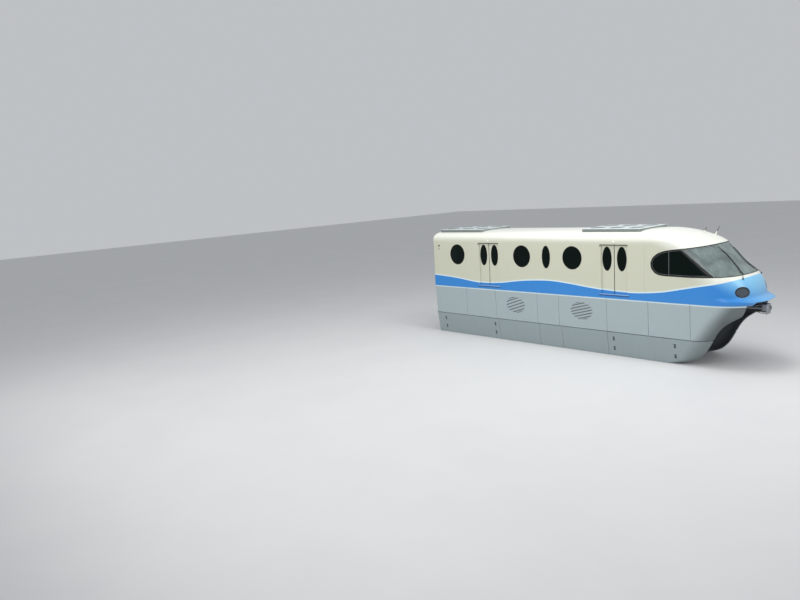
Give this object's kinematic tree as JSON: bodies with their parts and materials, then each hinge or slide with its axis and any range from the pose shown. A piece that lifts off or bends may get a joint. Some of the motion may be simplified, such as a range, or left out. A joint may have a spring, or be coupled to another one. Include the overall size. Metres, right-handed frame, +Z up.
{
  "type": "straddle monorail lead car",
  "caption": "Lead car of a straddle monorail train with a raked nose, sliding doors, round windows and rubber-tyred bogies astride a beam.",
  "frame": {"origin": "on the running surface of the beam, on the centre line, midway between the two bogies", "axes": "+X towards the nose, +Y to the left side, +Z up"},
  "size_m": [15.96, 3, 5.175],
  "materials": {
    "cream_paint": "glossy cream coach paint with a wavy blue band",
    "roof_paint": "satin off-white roof paint",
    "grey_paint": "satin light grey paint",
    "lower_grey_paint": "satin grey paint",
    "window_glass": "dark tinted safety glass",
    "lamp_glass": "smoked lamp lens",
    "aluminium": "mill finish with road grime",
    "dark_steel": "dark grey chassis paint",
    "tyre": "black tyre rubber on steel hubs",
    "rubber": "matt black folded rubber",
    "cab_plastic": "grained grey moulding",
    "seat_fabric": "blue woven upholstery"
  },
  "bodies": {
    "carbody": {"wall_right": "cream_paint", "window_rear_right": "window_glass", "window_middle_right": "window_glass", "wall_left": "cream_paint", "window_rear_left": "window_glass", "window_middle_left": "window_glass", "roof": "roof_paint", "rear_cap": "cream_paint", "gangway_bellows": "rubber", "cab_glass": "window_glass", "nose_shell": "cream_paint", "headlamp_right": "lamp_glass", "headlamp_left": "lamp_glass", "skirt_upper_right": "grey_paint", "skirt_upper_left": "grey_paint", "skirt_lower_right": "lower_grey_paint", "skirt_lower_left": "lower_grey_paint", "floor": "aluminium", "roof_unit_rear": "grey_paint", "roof_unit_front": "grey_paint", "coupler_front": "dark_steel", "coupler_rear": "dark_steel", "bench_right": "seat_fabric", "bench_left": "seat_fabric", "cab_bulkhead": "cab_plastic", "driver_desk": "cab_plastic", "driver_chair": "seat_fabric"},
    "door_rear_right_a": {"door_rear_right_a": "cream_paint"},
    "door_rear_right_b": {"door_rear_right_b": "cream_paint"},
    "door_rear_left_a": {"door_rear_left_a": "cream_paint"},
    "door_rear_left_b": {"door_rear_left_b": "cream_paint"},
    "door_front_right_a": {"door_front_right_a": "cream_paint"},
    "door_front_right_b": {"door_front_right_b": "cream_paint"},
    "door_front_left_a": {"door_front_left_a": "cream_paint"},
    "door_front_left_b": {"door_front_left_b": "cream_paint"},
    "bogie_rear": {"bogie_frame_rear": "dark_steel"},
    "axle_rear_inner": {"axle_rear_inner": "tyre"},
    "guide_rear_inner_right": {"guide_rear_inner_right": "tyre"},
    "guide_rear_inner_left": {"guide_rear_inner_left": "tyre"},
    "axle_rear_outer": {"axle_rear_outer": "tyre"},
    "guide_rear_outer_right": {"guide_rear_outer_right": "tyre"},
    "guide_rear_outer_left": {"guide_rear_outer_left": "tyre"},
    "stabiliser_rear_right": {"stabiliser_rear_right": "tyre"},
    "stabiliser_rear_left": {"stabiliser_rear_left": "tyre"},
    "bogie_front": {"bogie_frame_front": "dark_steel"},
    "axle_front_outer": {"axle_front_outer": "tyre"},
    "guide_front_outer_right": {"guide_front_outer_right": "tyre"},
    "guide_front_outer_left": {"guide_front_outer_left": "tyre"},
    "axle_front_inner": {"axle_front_inner": "tyre"},
    "guide_front_inner_right": {"guide_front_inner_right": "tyre"},
    "guide_front_inner_left": {"guide_front_inner_left": "tyre"},
    "stabiliser_front_right": {"stabiliser_front_right": "tyre"},
    "stabiliser_front_left": {"stabiliser_front_left": "tyre"}
  },
  "joints": [
    {"name": "door_rear_right_a_slide", "type": "slide", "parent": "carbody", "child": "door_rear_right_a", "axis": [-1, 0, 0], "range_m": [0, 0.575]},
    {"name": "door_rear_right_b_slide", "type": "slide", "parent": "carbody", "child": "door_rear_right_b", "axis": [1, 0, 0], "range_m": [0, 0.575]},
    {"name": "door_rear_left_a_slide", "type": "slide", "parent": "carbody", "child": "door_rear_left_a", "axis": [-1, 0, 0], "range_m": [0, 0.575]},
    {"name": "door_rear_left_b_slide", "type": "slide", "parent": "carbody", "child": "door_rear_left_b", "axis": [1, 0, 0], "range_m": [0, 0.575]},
    {"name": "door_front_right_a_slide", "type": "slide", "parent": "carbody", "child": "door_front_right_a", "axis": [-1, 0, 0], "range_m": [0, 0.575]},
    {"name": "door_front_right_b_slide", "type": "slide", "parent": "carbody", "child": "door_front_right_b", "axis": [1, 0, 0], "range_m": [0, 0.575]},
    {"name": "door_front_left_a_slide", "type": "slide", "parent": "carbody", "child": "door_front_left_a", "axis": [-1, 0, 0], "range_m": [0, 0.575]},
    {"name": "door_front_left_b_slide", "type": "slide", "parent": "carbody", "child": "door_front_left_b", "axis": [1, 0, 0], "range_m": [0, 0.575]},
    {"name": "bogie_rear_swivel", "type": "hinge", "parent": "carbody", "child": "bogie_rear", "pos_m": [-4.75, 0, 0.76], "axis": [0, 0, 1], "range_deg": [-4, 4]},
    {"name": "axle_rear_inner_spin", "type": "hinge", "parent": "bogie_rear", "child": "axle_rear_inner", "pos_m": [-4, 0, 0.5], "axis": [0, 1, 0], "continuous": true},
    {"name": "guide_rear_inner_right_spin", "type": "hinge", "parent": "bogie_rear", "child": "guide_rear_inner_right", "pos_m": [-3.5, -0.79, -0.3], "axis": [0, 0, 1], "continuous": true},
    {"name": "guide_rear_inner_left_spin", "type": "hinge", "parent": "bogie_rear", "child": "guide_rear_inner_left", "pos_m": [-3.5, 0.79, -0.3], "axis": [0, 0, 1], "continuous": true},
    {"name": "axle_rear_outer_spin", "type": "hinge", "parent": "bogie_rear", "child": "axle_rear_outer", "pos_m": [-5.5, 0, 0.5], "axis": [0, 1, 0], "continuous": true},
    {"name": "guide_rear_outer_right_spin", "type": "hinge", "parent": "bogie_rear", "child": "guide_rear_outer_right", "pos_m": [-6, -0.79, -0.3], "axis": [0, 0, 1], "continuous": true},
    {"name": "guide_rear_outer_left_spin", "type": "hinge", "parent": "bogie_rear", "child": "guide_rear_outer_left", "pos_m": [-6, 0.79, -0.3], "axis": [0, 0, 1], "continuous": true},
    {"name": "stabiliser_rear_right_spin", "type": "hinge", "parent": "bogie_rear", "child": "stabiliser_rear_right", "pos_m": [-4.75, -0.75, -1.05], "axis": [0, 0, 1], "continuous": true},
    {"name": "stabiliser_rear_left_spin", "type": "hinge", "parent": "bogie_rear", "child": "stabiliser_rear_left", "pos_m": [-4.75, 0.75, -1.05], "axis": [0, 0, 1], "continuous": true},
    {"name": "bogie_front_swivel", "type": "hinge", "parent": "carbody", "child": "bogie_front", "pos_m": [4.75, 0, 0.76], "axis": [0, 0, 1], "range_deg": [-4, 4]},
    {"name": "axle_front_outer_spin", "type": "hinge", "parent": "bogie_front", "child": "axle_front_outer", "pos_m": [5.5, 0, 0.5], "axis": [0, 1, 0], "continuous": true},
    {"name": "guide_front_outer_right_spin", "type": "hinge", "parent": "bogie_front", "child": "guide_front_outer_right", "pos_m": [6, -0.79, -0.3], "axis": [0, 0, 1], "continuous": true},
    {"name": "guide_front_outer_left_spin", "type": "hinge", "parent": "bogie_front", "child": "guide_front_outer_left", "pos_m": [6, 0.79, -0.3], "axis": [0, 0, 1], "continuous": true},
    {"name": "axle_front_inner_spin", "type": "hinge", "parent": "bogie_front", "child": "axle_front_inner", "pos_m": [4, 0, 0.5], "axis": [0, 1, 0], "continuous": true},
    {"name": "guide_front_inner_right_spin", "type": "hinge", "parent": "bogie_front", "child": "guide_front_inner_right", "pos_m": [3.5, -0.79, -0.3], "axis": [0, 0, 1], "continuous": true},
    {"name": "guide_front_inner_left_spin", "type": "hinge", "parent": "bogie_front", "child": "guide_front_inner_left", "pos_m": [3.5, 0.79, -0.3], "axis": [0, 0, 1], "continuous": true},
    {"name": "stabiliser_front_right_spin", "type": "hinge", "parent": "bogie_front", "child": "stabiliser_front_right", "pos_m": [4.75, -0.75, -1.05], "axis": [0, 0, 1], "continuous": true},
    {"name": "stabiliser_front_left_spin", "type": "hinge", "parent": "bogie_front", "child": "stabiliser_front_left", "pos_m": [4.75, 0.75, -1.05], "axis": [0, 0, 1], "continuous": true}
  ],
  "couplings": [
    {"joint": "door_rear_right_b_slide", "follows": "door_rear_right_a_slide", "ratio": 1},
    {"joint": "door_rear_left_b_slide", "follows": "door_rear_left_a_slide", "ratio": 1},
    {"joint": "door_front_right_b_slide", "follows": "door_front_right_a_slide", "ratio": 1},
    {"joint": "door_front_left_b_slide", "follows": "door_front_left_a_slide", "ratio": 1}
  ]
}
